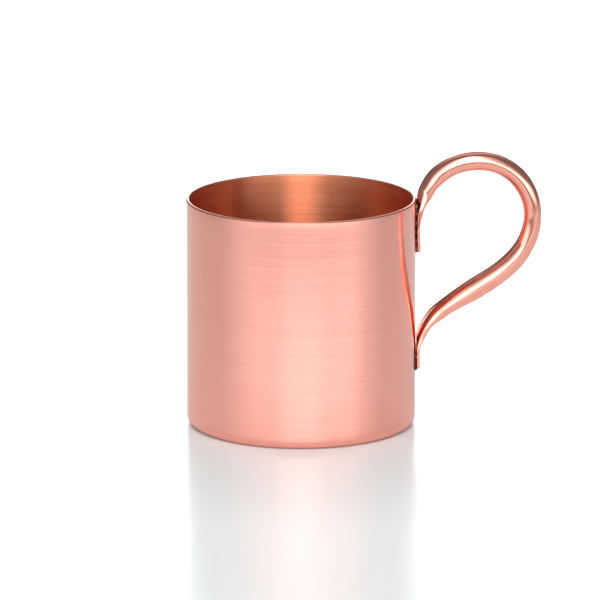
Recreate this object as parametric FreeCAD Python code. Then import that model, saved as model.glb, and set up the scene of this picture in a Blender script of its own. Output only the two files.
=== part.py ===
import FreeCAD, Part
import math
import os

# Straight-sided copper mug: a spun cup with a bent bar handle, whose flattened ends are
# silver-brazed to the wall. Millimetres. The cup's axis is Z, the foot stands on Z = 0, and
# the handle lies in the XZ plane, towards +X.

# Cup, one spun shell
CUP_DIAMETER = 86.0         # outside
CUP_HEIGHT = 86.4           # foot to lip
WALL = 1.2                  # sheet thickness, wall and base alike
FOOT_RADIUS = 3.5           # outside, where the wall turns into the base
STANDING_RING = 5.0         # width of the flat ring that the cup stands on
BASE_RISE = 1.0             # the base inside that ring is pushed up by this much

# Handle, one bent bar
BAR_THICKNESS = 7.0         # in the plane of the loop, where the bar is left round
LOOP_REACH = 47.6           # wall to the outermost point of the loop
LOOP_RISE = 16.9            # rim to the top of the loop
HANDLE_DROP = 65.2          # rim to the lower end of the handle
PAD_THICKNESS = 1.25        # the flattened ends
LOWER_PAD_WIDTH = 14.0
LOWER_PAD_LENGTH = 6.5
LOWER_PAD_CORNER = 1.2
UPPER_PAD_DROP = 21.2       # rim to the tip of the upper pad
UPPER_PAD_LENGTH = 9.7      # from that tip to where the bar starts to thicken
UPPER_PAD_WIDTH = 12.5
UPPER_TIP_WIDTH = 9.0
UPPER_TIP_THICKNESS = 1.65  # the hammered tip is left a little thicker
UPPER_TIP_CORNER = 3.0

# Braze between wall and pads
BRAZE_GAP = 0.3             # where a pad comes closest to the wall
BRAZE_FILLET = 0.6          # how far the braze flows out past a pad's edge
LIP_CLEARANCE = 0.4         # the upper braze stops this far under the lip's curve

SECTION_SPACING = 2.5       # along the bar, at most
POLES_PER_SECTION = 16
SQUARING = 0.25             # how fast the section squares up as it is hammered wider
SQUAREST = 4.0              # exponent of the outline at its squarest; 2 is a true ellipse

cup_radius = CUP_DIAMETER / 2
pad_plane = cup_radius + BRAZE_GAP
wall_top = CUP_HEIGHT - WALL / 2
lower_end = CUP_HEIGHT - HANDLE_DROP
upper_tip = CUP_HEIGHT - UPPER_PAD_DROP
loop_top = CUP_HEIGHT + LOOP_RISE


def point(x, z, y=0.0):
    return FreeCAD.Vector(x, y, z)


def segment(start, end):
    return Part.LineSegment(start, end).toShape()


def arc(start, middle, end):
    return Part.Arc(start, middle, end).toShape()


def corner_arc(centre_x, centre_z, radius):
    """Quarter circle from straight down to straight outwards."""
    diagonal = radius / math.sqrt(2)
    return arc(
        point(centre_x, centre_z - radius),
        point(centre_x + diagonal, centre_z - diagonal),
        point(centre_x + radius, centre_z),
    )


def dome_arc(edge_radius, height):
    """Shallow dome on the axis, rising by BASE_RISE from a ring at the given height."""
    ball_radius = (edge_radius**2 + BASE_RISE**2) / (2 * BASE_RISE)
    centre_z = height + BASE_RISE - ball_radius
    middle_x = edge_radius / 2
    middle_z = centre_z + math.sqrt(ball_radius**2 - middle_x**2)
    return arc(
        point(edge_radius, height),
        point(middle_x, middle_z),
        point(0, height + BASE_RISE),
    )


def make_cup():
    """Half section of the shell, turned about Z."""
    inner_radius = cup_radius - WALL
    bend = cup_radius - FOOT_RADIUS
    ring_inside = bend - STANDING_RING
    edges = [
        dome_arc(ring_inside, 0),
        segment(point(ring_inside, 0), point(bend, 0)),
        corner_arc(bend, FOOT_RADIUS, FOOT_RADIUS),
        segment(point(cup_radius, FOOT_RADIUS), point(cup_radius, wall_top)),
        arc(
            point(cup_radius, wall_top),
            point(cup_radius - WALL / 2, CUP_HEIGHT),
            point(inner_radius, wall_top),
        ),
        segment(point(inner_radius, wall_top), point(inner_radius, FOOT_RADIUS)),
        corner_arc(bend, FOOT_RADIUS, FOOT_RADIUS - WALL),
        segment(point(bend, WALL), point(ring_inside, WALL)),
        dome_arc(ring_inside, WALL),
        segment(point(0, WALL + BASE_RISE), point(0, BASE_RISE)),
    ]
    section = Part.Face(Part.Wire(Part.__sortEdges__(edges)))
    return section.revolve(point(0, 0), FreeCAD.Vector(0, 0, 1), 360)


def handle_stations():
    """Stations along the bar, lower pad first.

    Each is (x, z, direction in degrees, thickness, width). Where the bar is on the wall it is
    kept thicker than the pad by the sunk depth, which the flat cut at pad_plane takes off.
    """
    sunk = 0.6
    pad_thickness = PAD_THICKNESS + sunk
    pad_line = pad_plane + (PAD_THICKNESS - sunk) / 2
    side = cup_radius + LOOP_REACH - BAR_THICKNESS / 2
    top = loop_top - BAR_THICKNESS / 2
    rise = top - lower_end

    def free(across, up, direction, thickness, width):
        """A station off the wall, placed as shares of the loop's reach and height."""
        x = pad_line + across * (side - pad_line)
        z = lower_end + up * rise
        return (x, z, direction, thickness * BAR_THICKNESS, width * BAR_THICKNESS)

    tip_line = pad_plane + (UPPER_TIP_THICKNESS - sunk) / 2
    lower_bend = lower_end + LOWER_PAD_LENGTH
    upper_bend = upper_tip + UPPER_PAD_LENGTH
    return [
        (pad_line, lower_end, 90, pad_thickness, LOWER_PAD_WIDTH),
        (pad_line, lower_bend, 90, pad_thickness, LOWER_PAD_WIDTH),
        free(0.056, 0.177, 66, 0.50, 1.78),
        free(0.215, 0.273, 38, 0.90, 1.42),
        free(0.521, 0.380, 32, 1.19, 1.24),
        free(0.815, 0.498, 44.5, 1.12, 1.15),
        free(0.956, 0.611, 67.5, 1.01, 1.06),
        free(0.998, 0.739, 92, 0.96, 1.03),
        free(0.857, 0.921, 134.5, 0.99, 1.04),
        free(0.531, 0.998, 179, 1.04, 1.07),
        free(0.193, 0.936, 219.5, 1.02, 1.12),
        free(0.079, 0.856, 245, 0.88, 1.30),
        free(0.018, 0.766, 257, 0.46, 1.75),
        (pad_line, upper_bend, 270, pad_thickness, UPPER_PAD_WIDTH),
        (tip_line, upper_tip, 270, UPPER_TIP_THICKNESS + sunk, UPPER_TIP_WIDTH),
    ]


def blend(first, second, share):
    return first + (second - first) * share


def bar_sections():
    """(x, z, direction in radians, thickness, width) all along the bar.

    A span between two stations is the cubic that comes closest to an arc, so its pull at each
    end follows from the turn between them.
    """
    stations = handle_stations()
    sections = []
    for start, end in zip(stations, stations[1:]):
        chord = math.hypot(end[0] - start[0], end[1] - start[1])
        turn = math.radians(end[2] - start[2])
        pull = chord
        if abs(turn) > 1e-6:
            pull = 2 * chord * math.tan(turn / 4) / math.sin(turn / 2)
        first = math.radians(start[2])
        last = math.radians(end[2])
        pulls = [
            (pull * math.cos(first), pull * math.cos(last)),
            (pull * math.sin(first), pull * math.sin(last)),
        ]
        steps = math.ceil(chord / SECTION_SPACING)
        for step in range(steps):
            t = step / steps
            place = []
            slope = []
            for axis in (0, 1):
                a, b = start[axis], end[axis]
                u, v = pulls[axis]
                cubic = 2 * a - 2 * b + u + v
                square = 3 * b - 3 * a - 2 * u - v
                place.append(a + t * (u + t * (square + t * cubic)))
                slope.append(u + t * (2 * square + t * 3 * cubic))
            ease = t * t * (3 - 2 * t)
            sections.append((
                place[0],
                place[1],
                math.atan2(slope[1], slope[0]),
                blend(start[3], end[3], ease),
                blend(start[4], end[4], ease),
            ))
    x, z, direction, thickness, width = stations[-1]
    sections.append((x, z, math.radians(direction), thickness, width))
    return sections


def bar_outline(x, z, direction, thickness, width):
    """Poles across the bar: round where it is as wide as thick, squarer where it is flat."""
    power = 2 / min(SQUAREST, 2 + SQUARING * (width / thickness - 1))
    pole_reach = 3 / (2 + math.cos(2 * math.pi / POLES_PER_SECTION))
    across_x = -math.sin(direction)
    across_z = math.cos(direction)
    poles = []
    for step in range(POLES_PER_SECTION):
        angle = 2 * math.pi * step / POLES_PER_SECTION
        cosine = math.cos(angle)
        sine = math.sin(angle)
        inwards = math.copysign(abs(cosine) ** power, cosine) * thickness / 2 * pole_reach
        sideways = math.copysign(abs(sine) ** power, sine) * width / 2 * pole_reach
        poles.append(point(x + inwards * across_x, z + inwards * across_z, sideways))
    return poles


def make_bar():
    """One smooth cubic surface along the whole bar, with a flat cap at each end."""
    outlines = [bar_outline(*section) for section in bar_sections()]
    along = len(outlines)
    around = POLES_PER_SECTION
    surface = Part.BSplineSurface()
    surface.buildFromPolesMultsKnots(
        outlines,
        [4] + [1] * (along - 4) + [4],
        [1] * (around + 1),
        list(range(along - 2)),
        list(range(around + 1)),
        False,
        True,
        3,
        3,
    )
    side = surface.toShape()
    ends = [Part.Face(Part.Wire(surface.uIso(end).toShape())) for end in (0, along - 3)]
    return Part.Solid(Part.makeShell([side] + ends))


def end_corner(side, end, outwards, width, radius):
    """What rounding one corner of a pad's end takes away, clear of the loop behind it."""
    depth = pad_plane + 2 * UPPER_TIP_THICKNESS
    overrun = 1.0
    corner_y = side * width / 2
    centre_y = corner_y - side * radius
    centre_z = end - outwards * radius
    low_y, high_y = sorted((centre_y, corner_y + side * overrun))
    low_z, high_z = sorted((centre_z, end + outwards * overrun))
    block = Part.makeBox(depth, high_y - low_y, high_z - low_z, FreeCAD.Vector(0, low_y, low_z))
    round_bar = Part.makeCylinder(
        radius, depth, FreeCAD.Vector(0, centre_y, centre_z), FreeCAD.Vector(1, 0, 0)
    )
    return block.cut(round_bar)


def make_handle():
    """The bar, cut flat where it lies on the wall, with its pads' corners rounded."""
    span = 2 * CUP_DIAMETER
    inside = Part.makeBox(
        span, span, loop_top + span, FreeCAD.Vector(pad_plane - span, -span / 2, -span / 2)
    )
    handle = make_bar().cut(inside)
    for side in (-1, 1):
        handle = handle.cut(end_corner(side, lower_end, -1, LOWER_PAD_WIDTH, LOWER_PAD_CORNER))
        handle = handle.cut(end_corner(side, upper_tip, -1, UPPER_TIP_WIDTH, UPPER_TIP_CORNER))
    return handle.Solids[0]


def rounded_corner(before, corner, after, radius):
    """Start, middle and end of the arc that rounds a corner."""
    back = (before - corner).normalize()
    ahead = (after - corner).normalize()
    half_angle = back.getAngle(ahead) / 2
    reach = radius / math.tan(half_angle)
    middle = (back + ahead).normalize() * (radius / math.sin(half_angle) - radius)
    return corner + back * reach, corner + middle, corner + ahead * reach


def plate_outline(x, low, high, low_width, high_width, radius):
    """Upright outline at x with its two lower corners rounded."""
    corners = [
        point(x, high, -high_width / 2),
        point(x, low, -low_width / 2),
        point(x, low, low_width / 2),
        point(x, high, high_width / 2),
    ]
    near = rounded_corner(*corners[:3], radius)
    far = rounded_corner(*corners[1:], radius)
    return Part.Wire([
        segment(corners[0], near[0]),
        arc(*near),
        segment(near[2], far[0]),
        arc(*far),
        segment(far[2], corners[3]),
        segment(corners[3], corners[0]),
    ])


def make_braze(low, high, low_width, high_width, corner, flow_high):
    """Braze between the round wall and a flat pad, flaring towards the wall."""
    half_width = max(low_width, high_width) / 2 + BRAZE_FILLET
    depth = pad_plane - math.sqrt(cup_radius**2 - half_width**2)
    at_pad = plate_outline(pad_plane, low, high, low_width, high_width, corner)
    at_wall = plate_outline(
        pad_plane - depth,
        low - BRAZE_FILLET,
        high + flow_high,
        low_width + 2 * BRAZE_FILLET,
        high_width + 2 * BRAZE_FILLET,
        corner + BRAZE_FILLET,
    )
    plate = Part.makeLoft([at_pad, at_wall], True, True)
    cup_body = Part.makeCylinder(cup_radius, CUP_HEIGHT)
    return plate.cut(cup_body).Solids[0]


def make_lower_braze():
    return make_braze(
        lower_end,
        lower_end + LOWER_PAD_LENGTH,
        LOWER_PAD_WIDTH,
        LOWER_PAD_WIDTH,
        LOWER_PAD_CORNER,
        BRAZE_FILLET,
    )


def make_upper_braze():
    return make_braze(
        upper_tip,
        wall_top - LIP_CLEARANCE,
        UPPER_TIP_WIDTH,
        UPPER_PAD_WIDTH,
        UPPER_TIP_CORNER,
        0.0,
    )


os.makedirs("parts", exist_ok=True)
pieces = {
    "cup": make_cup(),
    "handle": make_handle(),
    "upper_braze": make_upper_braze(),
    "lower_braze": make_lower_braze(),
}
for name, solid in pieces.items():
    solid.exportStep(f"parts/{name}.step")
    print(name, "valid" if solid.isValid() else "INVALID", round(solid.Volume, 1), "mm3")
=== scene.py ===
import math

import bpy
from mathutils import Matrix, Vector, noise


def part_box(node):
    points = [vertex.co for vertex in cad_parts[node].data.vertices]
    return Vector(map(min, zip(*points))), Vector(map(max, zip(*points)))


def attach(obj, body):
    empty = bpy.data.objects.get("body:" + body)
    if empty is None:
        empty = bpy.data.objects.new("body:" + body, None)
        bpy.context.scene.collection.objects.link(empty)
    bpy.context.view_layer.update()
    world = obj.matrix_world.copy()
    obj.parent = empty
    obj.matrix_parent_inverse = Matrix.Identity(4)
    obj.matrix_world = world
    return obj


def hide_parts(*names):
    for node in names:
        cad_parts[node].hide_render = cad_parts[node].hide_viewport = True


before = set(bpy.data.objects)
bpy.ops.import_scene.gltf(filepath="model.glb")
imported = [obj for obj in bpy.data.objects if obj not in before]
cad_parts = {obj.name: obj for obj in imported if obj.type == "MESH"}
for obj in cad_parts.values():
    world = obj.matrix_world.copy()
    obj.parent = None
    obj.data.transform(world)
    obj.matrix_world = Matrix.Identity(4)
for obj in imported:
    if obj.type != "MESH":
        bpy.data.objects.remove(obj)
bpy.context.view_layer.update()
MM = 0.001


# ---------------------------------------------------------------------------
# Cup. One shell of 1.2 mm copper sheet, spun over a form: straight wall, small
# foot radius and a lip rounded over. The outside is polished on the lathe, the
# inside is left satin, with the tool's fine turning lines running round it.
# ---------------------------------------------------------------------------
cup_low, cup_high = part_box("cup")
CUP_RADIUS = (cup_high.y - cup_low.y) / 2
CUP_HEIGHT = cup_high.z
WALL = 1.2 * MM
FOOT_RADIUS = 3.5 * MM
STANDING_RING = 5.0 * MM
BASE_RISE = 1.0 * MM
ROUND_STEPS = 320          # round the cup
DOME_STEPS = 16            # and along the section, run by run
RING_STEPS = 4
FOOT_STEPS = 14
INNER_FOOT_STEPS = 10
WALL_STEPS = 24
LIP_STEPS = 14


def arc_points(centre, radius, start, end, steps):
    """Points (r, z) on an arc from start to end, in degrees, without its last point."""
    points = []
    for step in range(steps):
        angle = math.radians(start + (end - start) * step / steps)
        points.append((centre[0] + radius * math.cos(angle), centre[1] + radius * math.sin(angle)))
    return points


def dome_points(edge_radius, height):
    """Points (r, z) of the pushed-up base, from near the axis out to the standing ring."""
    points = []
    for step in range(1, DOME_STEPS):
        share = step / DOME_STEPS
        points.append((edge_radius * share, height + BASE_RISE * (1 - share**2)))
    return points


def straight_points(start, end, steps):
    """Points (r, z) along a straight run, without its last point."""
    points = []
    for step in range(steps):
        share = step / steps
        points.append((
            start[0] + (end[0] - start[0]) * share,
            start[1] + (end[1] - start[1]) * share,
        ))
    return points


def cup_profile():
    """The section of the shell as (outside, lip, inside) runs of (r, z)."""
    bend = CUP_RADIUS - FOOT_RADIUS
    ring_inside = bend - STANDING_RING
    wall_top = CUP_HEIGHT - WALL / 2
    inner = CUP_RADIUS - WALL
    outside = dome_points(ring_inside, 0)
    outside += straight_points((ring_inside, 0), (bend, 0), RING_STEPS)
    outside += arc_points((bend, FOOT_RADIUS), FOOT_RADIUS, -90, 0, FOOT_STEPS)
    outside += straight_points((CUP_RADIUS, FOOT_RADIUS), (CUP_RADIUS, wall_top), WALL_STEPS)
    lip = arc_points((CUP_RADIUS - WALL / 2, wall_top), WALL / 2, 0, 180, LIP_STEPS)
    inside = straight_points((inner, wall_top), (inner, FOOT_RADIUS), WALL_STEPS)
    inside += arc_points((bend, FOOT_RADIUS), FOOT_RADIUS - WALL, 0, -90, INNER_FOOT_STEPS)
    inside += straight_points((bend, WALL), (ring_inside, WALL), RING_STEPS)
    inside += [(ring_inside, WALL)] + dome_points(ring_inside, WALL)[::-1]
    return outside, lip, inside


def mesh_object(name, vertices, faces, sharp_degrees=35):
    """A smooth-shaded piece, with edges sharper than that angle left sharp."""
    mesh = bpy.data.meshes.new(name)
    mesh.from_pydata(vertices, [], faces)
    mesh.shade_smooth()
    mesh.set_sharp_from_angle(angle=math.radians(sharp_degrees))
    mesh.update()
    piece = bpy.data.objects.new(name, mesh)
    bpy.context.scene.collection.objects.link(piece)
    return piece


def make_cup():
    """The section turned about the axis, with material 0 outside, 1 on the lip and 2 inside."""
    outside, lip, inside = cup_profile()
    profile = outside + lip + inside
    vertices = [(0, 0, BASE_RISE)]
    for radius, z in profile:
        for step in range(ROUND_STEPS):
            angle = 2 * math.pi * step / ROUND_STEPS
            vertices.append((radius * math.cos(angle), radius * math.sin(angle), z))
    vertices.append((0, 0, WALL + BASE_RISE))
    faces = []
    finishes = []
    last_ring = len(profile) - 1
    for step in range(ROUND_STEPS):
        after = (step + 1) % ROUND_STEPS
        faces.append((0, 1 + after, 1 + step))
        finishes.append(0)
        for ring in range(last_ring):
            here = 1 + ring * ROUND_STEPS
            above = here + ROUND_STEPS
            faces.append((here + step, here + after, above + after, above + step))
            if ring < len(outside):
                finishes.append(0)
            else:
                finishes.append(1 if ring < len(outside) + len(lip) - 1 else 2)
        top = 1 + last_ring * ROUND_STEPS
        faces.append((top + step, top + after, len(vertices) - 1))
        finishes.append(2)
    piece = mesh_object("cup_shell", vertices, faces)
    piece.data.polygons.foreach_set("material_index", finishes)
    return piece


def linear(hex_colour):
    """sRGB hex to the linear red, green, blue and alpha that a socket takes."""
    channels = []
    for start in (1, 3, 5):
        value = int(hex_colour[start:start + 2], 16) / 255
        channels.append(value / 12.92 if value <= 0.04045 else ((value + 0.055) / 1.055) ** 2.4)
    return (*channels, 1.0)


def add(tree, kind, settings=None, **inputs):
    """Adds a node, sets its properties, and sets or links its inputs by socket name."""
    node = tree.nodes.new(kind)
    for name, value in (settings or {}).items():
        setattr(node, name, value)
    for name, value in inputs.items():
        key = int(name[1:]) if name[1:].isdigit() else name.replace("_", " ")
        socket = node.inputs[key]
        if isinstance(value, bpy.types.NodeSocket):
            tree.links.new(value, socket)
        else:
            socket.default_value = value
    return node


def new_material(name):
    """An empty material and its Principled shader."""
    material = bpy.data.materials.new(name)
    material.use_nodes = True
    tree = material.node_tree
    tree.nodes.clear()
    shader = tree.nodes.new("ShaderNodeBsdfPrincipled")
    output = tree.nodes.new("ShaderNodeOutputMaterial")
    tree.links.new(shader.outputs["BSDF"], output.inputs["Surface"])
    return material, tree, shader


def ring_lines(tree, length, spacing, detail):
    """Noise drawn out round the cup's axis into lines of that length and spacing.

    The section's length is followed by z + r, which changes on the wall and on the base alike.
    """
    place = add(tree, "ShaderNodeTexCoord").outputs["Object"]
    split = add(tree, "ShaderNodeSeparateXYZ", Vector=place)
    flat = add(tree, "ShaderNodeCombineXYZ", X=split.outputs["X"], Y=split.outputs["Y"])
    radius = add(tree, "ShaderNodeVectorMath", {"operation": "LENGTH"}, _0=flat.outputs[0])
    section = add(
        tree, "ShaderNodeMath", {"operation": "ADD"}, _0=split.outputs["Z"], _1=radius.outputs["Value"]
    )
    drawn = add(
        tree, "ShaderNodeCombineXYZ", X=split.outputs["X"], Y=split.outputs["Y"],
        Z=section.outputs[0],
    )
    scaled = add(
        tree, "ShaderNodeVectorMath", {"operation": "MULTIPLY"}, _0=drawn.outputs[0],
        _1=(1 / length, 1 / length, 1 / spacing),
    )
    return add(
        tree, "ShaderNodeTexNoise", Vector=scaled.outputs[0], Scale=1.0, Detail=detail, Roughness=0.6
    ).outputs["Fac"]


COPPER = "#FDB9AB"
COPPER_DEEP = "#F4A494"


def lathe_polished_copper():
    """Copper polished while it turns: the wheel's fine scratches run round the cup, so what it
    reflects is drawn out up and down into soft upright bands of pale pink."""
    material, tree, shader = new_material("lathe_polished_copper")
    # real polishing scratches are finer than shows, so these are drawn 0.55 mm apart
    scratches = ring_lines(tree, 70 * MM, 0.55 * MM, 4.0)
    tone = add(
        tree, "ShaderNodeMix", {"data_type": "RGBA"}, Factor=scratches, _6=linear(COPPER_DEEP),
        _7=linear(COPPER),
    )
    rough = add(
        tree, "ShaderNodeMapRange", Value=scratches, From_Min=0.3, From_Max=0.7, To_Min=0.20,
        To_Max=0.24,
    )
    bump = add(tree, "ShaderNodeBump", Height=scratches, Strength=0.03, Distance=0.02 * MM)
    tangent = add(tree, "ShaderNodeTangent", {"direction_type": "RADIAL", "axis": "Z"})
    links = tree.links
    links.new(tone.outputs[2], shader.inputs["Base Color"])
    links.new(rough.outputs[0], shader.inputs["Roughness"])
    links.new(bump.outputs[0], shader.inputs["Normal"])
    links.new(tangent.outputs[0], shader.inputs["Tangent"])
    shader.inputs["Metallic"].default_value = 1.0
    shader.inputs["Anisotropic"].default_value = 0.85
    shader.inputs["Anisotropic Rotation"].default_value = 0.25
    return material


def buffed_lip_copper():
    """The lip is rubbed smooth by hand after spinning: a soft thin glint with no direction."""
    material, tree, shader = new_material("buffed_lip_copper")
    clouds = ring_lines(tree, 17 * MM, 3.3 * MM, 2.0)
    tone = add(
        tree, "ShaderNodeMix", {"data_type": "RGBA"}, Factor=clouds, _6=linear("#D28D7D"),
        _7=linear("#DE9B8B"),
    )
    rough = add(tree, "ShaderNodeMapRange", Value=clouds, To_Min=0.26, To_Max=0.38)
    tree.links.new(tone.outputs[2], shader.inputs["Base Color"])
    tree.links.new(rough.outputs[0], shader.inputs["Roughness"])
    shader.inputs["Metallic"].default_value = 1.0
    return material


def satin_turned_copper():
    """Copper left as the lathe tool and abrasive cloth left it: close turning lines round the
    inside spread a highlight up and down the wall into one soft upright band."""
    material, tree, shader = new_material("satin_turned_copper")
    # the tool's real lines are finer than shows, so these are drawn 0.77 mm apart
    lines = ring_lines(tree, 100 * MM, 0.77 * MM, 4.0)
    tone = add(
        tree, "ShaderNodeMix", {"data_type": "RGBA"}, Factor=lines, _6=linear("#D8764A"),
        _7=linear("#FAAC88"),
    )
    rough = add(
        tree, "ShaderNodeMapRange", Value=lines, From_Min=0.3, From_Max=0.7, To_Min=0.26, To_Max=0.40
    )
    bump = add(tree, "ShaderNodeBump", Height=lines, Strength=0.15, Distance=0.03 * MM)
    tangent = add(tree, "ShaderNodeTangent", {"direction_type": "RADIAL", "axis": "Z"})
    links = tree.links
    links.new(tone.outputs[2], shader.inputs["Base Color"])
    links.new(rough.outputs[0], shader.inputs["Roughness"])
    links.new(bump.outputs[0], shader.inputs["Normal"])
    links.new(tangent.outputs[0], shader.inputs["Tangent"])
    shader.inputs["Metallic"].default_value = 1.0
    shader.inputs["Anisotropic"].default_value = 1.0
    shader.inputs["Anisotropic Rotation"].default_value = 0.25
    return material


cup = make_cup()
for finish in (lathe_polished_copper(), buffed_lip_copper(), satin_turned_copper()):
    cup.data.materials.append(finish)
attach(cup, "root")
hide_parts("cup")


# ---------------------------------------------------------------------------
# Handle. One copper bar about 7 mm thick, bent into a loop that stands above the
# rim. Both ends are hammered out into flat pads that lie on the wall; the lower
# pad is cut square, the upper one has a rounded tip. The bar is buffed by hand.
# ---------------------------------------------------------------------------
handle_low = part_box("handle")[0]
BAR_THICKNESS = 7.0 * MM
PAD_THICKNESS = 1.25 * MM
LOWER_PAD_WIDTH = 14.0 * MM
LOWER_PAD_LENGTH = 6.5 * MM
LOWER_PAD_CORNER = 1.2 * MM
UPPER_PAD_DROP = 21.2 * MM
UPPER_PAD_LENGTH = 9.7 * MM
UPPER_PAD_WIDTH = 12.5 * MM
UPPER_TIP_WIDTH = 9.0 * MM
UPPER_TIP_THICKNESS = 1.65 * MM
UPPER_TIP_CORNER = 3.0 * MM
LOOP_REACH = 47.6 * MM
LOOP_RISE = 16.9 * MM
PAD_EDGE = 0.35 * MM            # how far the ends of the pads are rounded over
HAMMER_DEPTH = 0.03 * MM        # what the buffing left of the hammer's marks
HAMMER_PITCH = 6.0 * MM
BAR_STEPS_AROUND = 72
BAR_STEP = 0.7 * MM
END_STEPS = 14
SQUARING = 0.25                 # how fast the section squares up as it is hammered wider
SQUAREST = 4.0                  # exponent of the outline at its squarest; 2 is a true ellipse
pad_plane = handle_low.x
lower_end = handle_low.z
upper_tip = CUP_HEIGHT - UPPER_PAD_DROP


def bar_stations():
    """(x, z, direction in degrees, thickness, width) along the bar, lower pad first.

    On the wall the bar is kept thicker than its pad by the sunk depth, which the flat underside
    of the pads takes off again. Elsewhere places are shares of the loop's reach and height, and
    thickness and width are shares of the bar's thickness.
    """
    sunk = 0.6 * MM
    pad_thickness = PAD_THICKNESS + sunk
    pad_line = pad_plane + (PAD_THICKNESS - sunk) / 2
    tip_line = pad_plane + (UPPER_TIP_THICKNESS - sunk) / 2
    side = CUP_RADIUS + LOOP_REACH - BAR_THICKNESS / 2
    rise = CUP_HEIGHT + LOOP_RISE - BAR_THICKNESS / 2 - lower_end

    def free(across, up, direction, thickness, width):
        """A station off the wall."""
        x = pad_line + across * (side - pad_line)
        return (x, lower_end + up * rise, direction, thickness * BAR_THICKNESS, width * BAR_THICKNESS)

    return [
        (pad_line, lower_end, 90, pad_thickness, LOWER_PAD_WIDTH),
        (pad_line, lower_end + LOWER_PAD_LENGTH, 90, pad_thickness, LOWER_PAD_WIDTH),
        free(0.056, 0.177, 66, 0.50, 1.78),
        free(0.215, 0.273, 38, 0.90, 1.42),
        free(0.521, 0.380, 32, 1.19, 1.24),
        free(0.815, 0.498, 44.5, 1.12, 1.15),
        free(0.956, 0.611, 67.5, 1.01, 1.06),
        free(0.998, 0.739, 92, 0.96, 1.03),
        free(0.857, 0.921, 134.5, 0.99, 1.04),
        free(0.531, 0.998, 179, 1.04, 1.07),
        free(0.193, 0.936, 219.5, 1.02, 1.12),
        free(0.079, 0.856, 245, 0.88, 1.30),
        free(0.018, 0.766, 257, 0.46, 1.75),
        (pad_line, upper_tip + UPPER_PAD_LENGTH, 270, pad_thickness, UPPER_PAD_WIDTH),
        (tip_line, upper_tip, 270, UPPER_TIP_THICKNESS + sunk, UPPER_TIP_WIDTH),
    ]


def bar_sections():
    """(x, z, direction in radians, thickness, width) close together along the whole bar."""
    stations = bar_stations()
    sections = []
    for start, end in zip(stations, stations[1:]):
        chord = math.hypot(end[0] - start[0], end[1] - start[1])
        turn = math.radians(end[2] - start[2])
        pull = chord
        if abs(turn) > 1e-6:
            pull = 2 * chord * math.tan(turn / 4) / math.sin(turn / 2)
        first, last = math.radians(start[2]), math.radians(end[2])
        steps = math.ceil(chord / BAR_STEP)
        for step in range(steps):
            t = step / steps
            place, slope = [], []
            for axis, wave in ((0, math.cos), (1, math.sin)):
                a, b = start[axis], end[axis]
                u, v = pull * wave(first), pull * wave(last)
                cubic = 2 * a - 2 * b + u + v
                square = 3 * b - 3 * a - 2 * u - v
                place.append(a + t * (u + t * (square + t * cubic)))
                slope.append(u + t * (2 * square + t * 3 * cubic))
            ease = t * t * (3 - 2 * t)
            sections.append((
                *place,
                math.atan2(slope[1], slope[0]),
                start[3] + (end[3] - start[3]) * ease,
                start[4] + (end[4] - start[4]) * ease,
            ))
    x, z, direction, thickness, width = stations[-1]
    sections.append((x, z, math.radians(direction), thickness, width))
    return sections


def rounded_off(inset, radius):
    """How much a corner of that radius takes off each side, this far in from the end."""
    if inset >= radius:
        return 0.0
    return radius - math.sqrt(radius**2 - (radius - inset) ** 2)


def finished_ends(sections):
    """The sections with the pads' corners and end edges rounded, closer together there."""
    finished = []
    for end, corner in ((sections[0], LOWER_PAD_CORNER), (sections[-1], UPPER_TIP_CORNER)):
        rows = []
        for step in range(END_STEPS):
            inset = corner * (1 - math.cos(math.pi / 2 * step / END_STEPS))
            thickness = end[3] - 2 * rounded_off(inset, PAD_EDGE)
            width = end[4] - 2 * rounded_off(inset, corner)
            rows.append((end[0], end[1] + inset, end[2], thickness, width))
        finished.append(rows)
    clear_low = lower_end + LOWER_PAD_CORNER
    clear_high = upper_tip + UPPER_TIP_CORNER
    half = len(sections) // 2
    middle = [
        section
        for place, section in enumerate(sections)
        if section[1] >= (clear_low if place < half else clear_high)
    ]
    return finished[0] + middle + finished[1][::-1]


def make_handle():
    """The bar as one skin, pressed flat where it lies on the wall, with faint hammer dents."""
    sections = finished_ends(bar_sections())
    vertices = []
    for x, z, direction, thickness, width in sections:
        power = 2 / min(SQUAREST, 2 + SQUARING * (width / thickness - 1))
        for step in range(BAR_STEPS_AROUND):
            angle = 2 * math.pi * step / BAR_STEPS_AROUND
            cosine, sine = math.cos(angle), math.sin(angle)
            inwards = math.copysign(abs(cosine) ** power, cosine) * thickness / 2
            sideways = math.copysign(abs(sine) ** power, sine) * width / 2
            spot = Vector((
                x - inwards * math.sin(direction), sideways, z + inwards * math.cos(direction)
            ))
            dent = noise.noise(spot / HAMMER_PITCH) * HAMMER_DEPTH
            outwards = Vector((-inwards * math.sin(direction), sideways, inwards * math.cos(direction)))
            spot += outwards.normalized() * dent
            spot.x = max(spot.x, pad_plane)
            vertices.append(spot)
    faces = []
    rings = len(sections)
    for ring in range(rings - 1):
        here = ring * BAR_STEPS_AROUND
        above = here + BAR_STEPS_AROUND
        for step in range(BAR_STEPS_AROUND):
            after = (step + 1) % BAR_STEPS_AROUND
            faces.append((here + step, here + after, above + after, above + step))
    faces.append(tuple(range(BAR_STEPS_AROUND))[::-1])
    faces.append(tuple((rings - 1) * BAR_STEPS_AROUND + step for step in range(BAR_STEPS_AROUND)))
    return mesh_object("handle_bar", vertices, faces, sharp_degrees=50)


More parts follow.
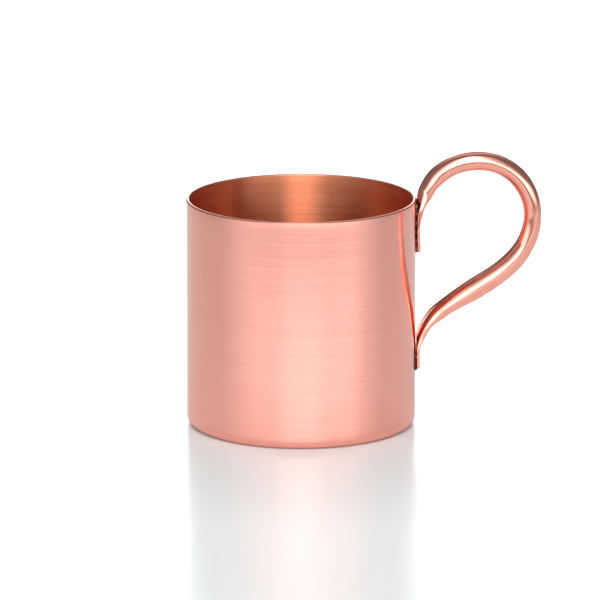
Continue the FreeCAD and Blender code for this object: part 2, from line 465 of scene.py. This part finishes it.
def hand_buffed_copper():
    """Solid copper bar buffed by hand on a mop: a bright polish, a shade deeper than the sheet,
    that goes softly cloudy in patches."""
    material, tree, shader = new_material("hand_buffed_copper")
    place = add(tree, "ShaderNodeTexCoord").outputs["Object"]
    # the mop leaves clouds of about 6 mm, over a grain of 0.7 mm and finer
    clouds = add(
        tree, "ShaderNodeTexNoise", Vector=place, Scale=1 / (6.25 * MM), Detail=3.0
    ).outputs["Fac"]
    grain = add(
        tree, "ShaderNodeTexNoise", Vector=place, Scale=1 / (0.7 * MM), Detail=2.0
    ).outputs["Fac"]
    tone = add(
        tree, "ShaderNodeMix", {"data_type": "RGBA"}, Factor=clouds, _6=linear("#F09F8C"),
        _7=linear("#FAB1A2"),
    )
    rough = add(tree, "ShaderNodeMapRange", Value=clouds, To_Min=0.06, To_Max=0.20)
    bump = add(tree, "ShaderNodeBump", Height=grain, Strength=0.04, Distance=0.02 * MM)
    links = tree.links
    links.new(tone.outputs[2], shader.inputs["Base Color"])
    links.new(rough.outputs[0], shader.inputs["Roughness"])
    links.new(bump.outputs[0], shader.inputs["Normal"])
    shader.inputs["Metallic"].default_value = 1.0
    return material


handle = make_handle()
handle.data.materials.append(hand_buffed_copper())
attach(handle, "root")
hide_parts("handle")


# ---------------------------------------------------------------------------
# Braze. Silver braze run in between each flat pad and the round wall. It fills
# the wedge at the pad's sides, feathers out on the wall, and was left dark by
# the flux and the torch, with a few paler blots in it that are painted glints and sheen.
# ---------------------------------------------------------------------------
BRAZE_FLOW = 0.5 * MM           # how far it feathers out past the seam's edge
BRAZE_WET = 0.18 * MM           # how far it climbs a pad's side
BRAZE_RIPPLE = 1.6 * MM         # from one thick spot of it to the next
LIP_CLEARANCE = 0.5 * MM        # it stops this far under the lip's curve


def make_braze(name, low, high, half_width, seed):
    """A skin over the seam: against the wall behind, under the pad and down the fillets in front.

    half_width gives half the seam's width at a height, before it feathers out. The seed sets
    where the ripples lie.
    """
    rows, columns = 60, 48
    front, back = [], []
    for row in range(rows + 1):
        z = low - BRAZE_FLOW + (high - low + BRAZE_FLOW) * row / rows
        edge = half_width(max(z, low))
        reach = edge + BRAZE_FLOW
        below = max(0.0, (low - z) / BRAZE_FLOW)
        for column in range(columns + 1):
            y = reach * (2 * column / columns - 1)
            wander = noise.noise(Vector((y, z, seed)) / BRAZE_RIPPLE) * 0.5 + 0.5
            wall = math.sqrt(CUP_RADIUS**2 - y**2)
            past = max(0.0, (abs(y) - edge) / BRAZE_FLOW)
            full = pad_plane - wall
            if past > 0 or below > 0:
                full += BRAZE_WET * (0.5 + wander)
            feather = max(0.0, 1 - math.hypot(past, below)) ** 2
            rim_row = row == rows
            front.append((wall + (0.0 if rim_row else full * feather), y, z))
            back.append((wall, y, z))
    vertices = front + back
    faces = []
    width = columns + 1
    offset = len(front)
    for row in range(rows):
        for column in range(columns):
            a = row * width + column
            b = a + 1
            c = b + width
            d = a + width
            faces.append((a, b, c, d))
            faces.append((offset + d, offset + c, offset + b, offset + a))
    return mesh_object(name, vertices, faces, sharp_degrees=60)


def torch_darkened_braze():
    """Silver braze darkened by flux and flame: nearly black brown, half rough. Its small blots are
    smoother and paler; the smoothness is real, the paler colour is a painted glint and painted grey
    sheen."""
    material, tree, shader = new_material("torch_darkened_braze")
    place = add(tree, "ShaderNodeTexCoord").outputs["Object"]
    # blots of 1.4 mm and finer; their paler colour is a painted glint and painted sheen
    blots_and_painted_glints = add(
        tree, "ShaderNodeTexNoise", Vector=place, Scale=1 / (1.4 * MM), Detail=4.0
    ).outputs["Fac"]
    ramp = add(tree, "ShaderNodeValToRGB", Fac=blots_and_painted_glints)
    stops = ramp.color_ramp.elements
    # the grey stops paint glints and sheen onto the dark braze; the dark stop is the flux-darkened
    # braze itself
    stops[0].position, stops[0].color = 0.35, linear("#2E1A16")
    stops[1].position, stops[1].color = 0.66, linear("#A88A82")
    middle = stops.new(0.52)
    middle.color = linear("#523630")
    rough = add(tree, "ShaderNodeMapRange", Value=blots_and_painted_glints, To_Min=0.55, To_Max=0.25)
    bump = add(tree, "ShaderNodeBump", Height=blots_and_painted_glints, Strength=0.5, Distance=0.15 * MM)
    links = tree.links
    links.new(ramp.outputs["Color"], shader.inputs["Base Color"])
    links.new(rough.outputs[0], shader.inputs["Roughness"])
    links.new(bump.outputs[0], shader.inputs["Normal"])
    shader.inputs["Metallic"].default_value = 0.9
    return material


def lower_half_width(z):
    """Half the lower seam's width: the width of the pad, the same at every height."""
    return LOWER_PAD_WIDTH / 2


def upper_half_width(z):
    """Half the upper seam's width, which is the pad's at its rounded tip.

    It widens more slowly than the pad, so higher up it lies hidden under the pad's sides.
    """
    straight = CUP_HEIGHT - LIP_CLEARANCE - upper_tip
    share = (z - upper_tip) / straight
    corner = rounded_off(max(0.0, z - upper_tip), UPPER_TIP_CORNER)
    return (UPPER_TIP_WIDTH + (UPPER_PAD_WIDTH - UPPER_TIP_WIDTH) * share) / 2 - corner


braze_finish = torch_darkened_braze()
seams = (
    ("lower_braze", lower_end, lower_end + LOWER_PAD_LENGTH + BRAZE_FLOW, lower_half_width, 0.3),
    ("upper_braze", upper_tip, CUP_HEIGHT - WALL / 2 - LIP_CLEARANCE, upper_half_width, 0.7),
)
for node, low, high, half_width, seed in seams:
    seam = make_braze(node + "_seam", low, high, half_width, seed)
    seam.data.materials.append(braze_finish)
    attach(seam, "root")
    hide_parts(node)


# ---------------------------------------------------------------------------
# Stage. A sheet of white acrylic that the mug stands on, in a grey tent with a
# large soft box in front, and a long lens well back.
# ---------------------------------------------------------------------------
FLOOR_SIZE = 8.0
FLOOR_FRONT = 0.34     # the sheet ends this far in front of the mug's axis
CAMERA_TURN = 3.5      # degrees that the camera stands to the left of square on


def white_acrylic():
    """Opal white acrylic sheet: matt white below a soft gloss that shows the foot faintly."""
    material, tree, shader = new_material("white_acrylic")
    place = add(tree, "ShaderNodeTexCoord").outputs["Object"]
    # wiped patches about 330 mm across
    haze = add(
        tree, "ShaderNodeTexNoise", Vector=place, Scale=1 / (330 * MM), Detail=2.0
    ).outputs["Fac"]
    tone = add(
        tree, "ShaderNodeMix", {"data_type": "RGBA"}, Factor=haze, _6=linear("#E4EBEB"),
        _7=linear("#E8EDED"),
    )
    rough = add(tree, "ShaderNodeMapRange", Value=haze, To_Min=0.20, To_Max=0.24)
    tree.links.new(tone.outputs[2], shader.inputs["Base Color"])
    tree.links.new(rough.outputs[0], shader.inputs["Roughness"])
    shader.inputs["Specular IOR Level"].default_value = 0.12
    return material


def make_floor():
    """One flat sheet, whose front edge is nearer than the camera sees."""
    half = FLOOR_SIZE / 2
    corners = [
        (-half, -FLOOR_FRONT, 0),
        (half, -FLOOR_FRONT, 0),
        (half, half, 0),
        (-half, half, 0),
    ]
    piece = mesh_object("floor", corners, [(0, 1, 2, 3)])
    piece.data.materials.append(white_acrylic())
    return piece


def facing(azimuth, elevation, distance):
    """The place that many metres from the mug, in degrees round from the camera's side and up."""
    round_from_front = math.radians(azimuth - CAMERA_TURN)
    up = math.radians(elevation)
    return Vector((
        distance * math.sin(round_from_front) * math.cos(up),
        -distance * math.cos(round_from_front) * math.cos(up),
        distance * math.sin(up),
    ))


def lamp(name, place, width, height, radiance):
    """A rectangular light aimed at the mug, which the copper doesn't mirror."""
    light = bpy.data.lights.new(name, "AREA")
    light.shape = "RECTANGLE"
    light.size = width
    light.size_y = height
    light.energy = radiance * math.pi * width * height
    box = bpy.data.objects.new(name, light)
    box.location = place
    box.rotation_euler = (-place).to_track_quat("-Z", "Y").to_euler()
    box.visible_camera = False
    box.visible_glossy = False
    bpy.context.scene.collection.objects.link(box)


def make_tent():
    """Grey tent with a wide pale strip low in front, brighter to the right, a soft box above it
    in a paler haze, a lit screen low behind and a pale roof behind."""
    world = bpy.data.worlds.new("tent")
    world.use_nodes = True
    tree = world.node_tree
    tree.nodes.clear()
    way = add(tree, "ShaderNodeTexCoord").outputs["Generated"]
    turned = add(
        tree, "ShaderNodeVectorRotate", {"rotation_type": "Z_AXIS"}, Vector=way,
        Angle=math.radians(CAMERA_TURN),
    )
    split = add(tree, "ShaderNodeSeparateXYZ", Vector=turned.outputs[0])
    forwards = add(tree, "ShaderNodeMath", {"operation": "MULTIPLY"}, _0=split.outputs["Y"], _1=-1.0)
    right = add(
        tree, "ShaderNodeMath", {"operation": "ARCTAN2"}, _0=split.outputs["X"],
        _1=forwards.outputs[0],
    ).outputs[0]
    around = add(tree, "ShaderNodeMath", {"operation": "ABSOLUTE"}, _0=right).outputs[0]
    up = add(tree, "ShaderNodeMath", {"operation": "ARCSINE"}, _0=split.outputs["Z"]).outputs[0]

    def fade(angle, none, full):
        """0 at the first angle rising smoothly to 1 at the second, in degrees."""
        low, high = sorted((none, full))
        rising = full > none
        return add(
            tree, "ShaderNodeMapRange", {"interpolation_type": "SMOOTHSTEP"}, Value=angle,
            From_Min=math.radians(low), From_Max=math.radians(high), To_Min=0.0 if rising else 1.0,
            To_Max=1.0 if rising else 0.0,
        ).outputs[0]

    def times(first, second):
        """The product of two sockets."""
        return add(tree, "ShaderNodeMath", {"operation": "MULTIPLY"}, _0=first, _1=second).outputs[0]

    glow = add(tree, "ShaderNodeMapRange", Value=up, From_Max=math.pi / 2, To_Min=0.35, To_Max=0.22)
    glow = times(glow.outputs[0], fade(around, 190, 110))
    low = times(fade(up, -7, -1), fade(up, 18, 12))
    strip = times(low, times(fade(right, -95, -40), fade(right, 95, 48)))
    bright_end = times(low, times(fade(right, 2, 22), fade(right, 66, 46)))
    haze = times(fade(around, 65, 30), times(fade(up, 10, 16), fade(up, 75, 60)))
    box = times(fade(right, -36, -3), fade(right, 27, 6))
    box = times(box, times(fade(up, 7, 14), fade(up, 80, 55)))
    screen = times(fade(around, 165, 171), fade(up, 30, 16))
    roof = times(fade(around, 110, 150), fade(up, 28, 50))
    lit = (
        (strip, 2.4),
        (bright_end, 1.0),
        (haze, 0.8),
        (box, 3.6),
        (screen, 4.5),
        (roof, 0.8),
    )
    for part, radiance in lit:
        glow = add(
            tree, "ShaderNodeMath", {"operation": "MULTIPLY_ADD"}, _0=part, _1=radiance, _2=glow
        ).outputs[0]
    shade = add(tree, "ShaderNodeBackground", Strength=glow)
    add(tree, "ShaderNodeOutputWorld", Surface=shade.outputs[0])
    bpy.context.scene.world = world


make_floor()
make_tent()
lamp("floor_light", Vector((0.0, 0.3, 3.0)), width=2.8, height=2.8, radiance=0.6)
lamp("pool_light", facing(0, 49, 0.57), width=0.45, height=0.2, radiance=1.2)
lamp("back_light", facing(180, 50, 0.9), width=0.3, height=0.3, radiance=6.0)

# The lens is long and far back, looking down over the rim.
CAMERA_DISTANCE = 2.0891
CAMERA_HEIGHT = 0.5490
CAMERA_DIP = 13.511    # degrees below level
CAMERA_PAN = 0.0115    # degrees to the left of the cup's axis
lens = bpy.data.cameras.new("camera")
lens.sensor_width = 36.0
lens.lens = 343.1
lens.clip_end = 50.0
camera = bpy.data.objects.new("camera", lens)
turn = math.radians(CAMERA_TURN)
camera.location = (
    -CAMERA_DISTANCE * math.sin(turn), -CAMERA_DISTANCE * math.cos(turn), CAMERA_HEIGHT
)
camera.rotation_euler = (math.radians(90 - CAMERA_DIP), 0.0, math.radians(CAMERA_PAN) - turn)
bpy.context.scene.collection.objects.link(camera)
bpy.context.scene.camera = camera
bpy.context.scene.view_settings.view_transform = "Standard"
